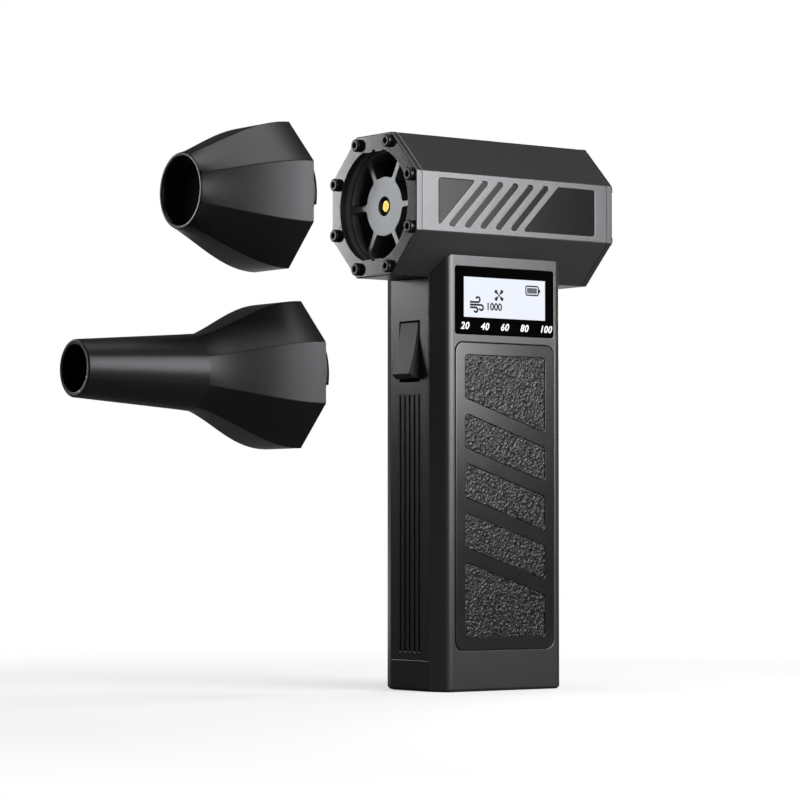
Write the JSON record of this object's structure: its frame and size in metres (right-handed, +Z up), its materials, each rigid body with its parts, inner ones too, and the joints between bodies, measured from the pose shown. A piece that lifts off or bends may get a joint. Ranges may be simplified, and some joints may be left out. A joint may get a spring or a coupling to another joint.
{
  "type": "handheld turbo blower",
  "caption": "Cordless handheld blower with an octagonal barrel on an upright rectangular grip, a display, a trigger and two loose air nozzles.",
  "frame": {"origin": "middle of the flat base of the handle", "axes": "+Z up the handle, -X the way the air leaves the barrel, -Y the side with the display"},
  "size_m": [0.2108, 0.05, 0.195],
  "materials": {
    "barrel_paint": "blasted and anodised dark grey",
    "plate_paint": "anodised grey, satin",
    "inlay_gloss": "gloss",
    "black_screw": "blackened",
    "cast_silver": "fine blasted",
    "duct_black": "matte",
    "can_alu": "satin",
    "steel": "ground",
    "core_steel": "lacquered sheets",
    "copper": "enamelled wire",
    "brass": "turned",
    "magnet_nickel": "nickel plated",
    "fan_alu": "satin",
    "shell_plastic": "satin metallic",
    "strip_plastic": "satin",
    "frame_gloss": "gloss",
    "pad_rubber": "pebble grain",
    "trigger_plastic": "satin gloss",
    "spring_steel": "bright",
    "switch_plastic": "matte",
    "bezel_gloss": "gloss",
    "screen": "lit display",
    "board_green": "solder mask",
    "chip_black": "matte",
    "cell_wrap": null,
    "nickel": "nickel",
    "port_steel": "plated",
    "lead_rubber": "silicone",
    "nozzle_plastic": "satin"
  },
  "bodies": {
    "body": {"barrel_housing": "barrel_paint", "side_inlay_front": "inlay_gloss", "side_inlay_rear": "inlay_gloss", "outlet_plate": "plate_paint", "inlet_plate": "plate_paint", "outlet_screws": "black_screw", "inlet_screws": "black_screw", "fan_duct": "duct_black", "stator_spider": "cast_silver", "motor_can": "can_alu", "motor_rear_cover": "can_alu", "front_bearing": "steel", "rear_bearing": "steel", "stator_core": "core_steel", "stator_windings": "copper", "inlet_grille": "duct_black", "handle_front_shell": "shell_plastic", "handle_rear_shell": "shell_plastic", "left_strip": "strip_plastic", "right_strip": "strip_plastic", "base_cap": "strip_plastic", "base_screws": "black_screw", "shell_screws": "black_screw", "neck_screws": "black_screw", "trigger_pin": "steel", "trigger_switch": "switch_plastic", "switch_carrier": "switch_plastic", "trigger_spring": "spring_steel", "display_bezel": "bezel_gloss", "lcd_panel": "screen", "display_board": "board_green", "front_grip_frame": "frame_gloss", "front_grip_pads": "pad_rubber", "rear_grip_frame": "frame_gloss", "rear_grip_pads": "pad_rubber", "battery_cells": "cell_wrap", "nickel_strips": "nickel", "cell_tray": "switch_plastic", "driver_board": "board_green", "power_transistors": "chip_black", "control_chip": "chip_black", "charge_port": "port_steel", "charge_board": "board_green", "motor_leads": "lead_rubber", "battery_leads": "lead_rubber"},
    "rotor": {"rotor_shaft": "steel", "shaft_bush": "brass", "rotor_magnet": "magnet_nickel", "impeller": "fan_alu"},
    "trigger": {"trigger": "trigger_plastic"},
    "plunger": {"switch_plunger": "switch_plastic"},
    "wide_nozzle": {"wide_nozzle": "nozzle_plastic"},
    "narrow_nozzle": {"narrow_nozzle": "nozzle_plastic"}
  },
  "joints": [
    {"name": "rotor_spin", "type": "hinge", "parent": "body", "child": "rotor", "pos_m": [0, 0, 0.17], "axis": [1, 0, 0], "continuous": true},
    {"name": "trigger_press", "type": "hinge", "parent": "body", "child": "trigger", "pos_m": [-0.0256, 0, 0.1279], "axis": [0, -1, 0], "range_deg": [0, 7], "stiffness_Nm_per_rad": 0.25, "springref_deg": -3.44, "deforming": ["trigger_spring"]},
    {"name": "plunger_slide", "type": "slide", "parent": "body", "child": "plunger", "axis": [1, 0, 0], "range_m": [0, 0.0012]},
    {"name": "wide_nozzle_slide", "type": "slide", "parent": "body", "child": "wide_nozzle", "axis": [1, 0, 0], "range_m": [0, 0.04115]},
    {"name": "narrow_nozzle_slide", "type": "slide", "parent": "body", "child": "narrow_nozzle", "axis": [-1, 0, 0], "range_m": [0, 0.05]}
  ],
  "couplings": [
    {"joint": "plunger_slide", "follows": "trigger_press", "m_per_rad": 0.0089}
  ]
}
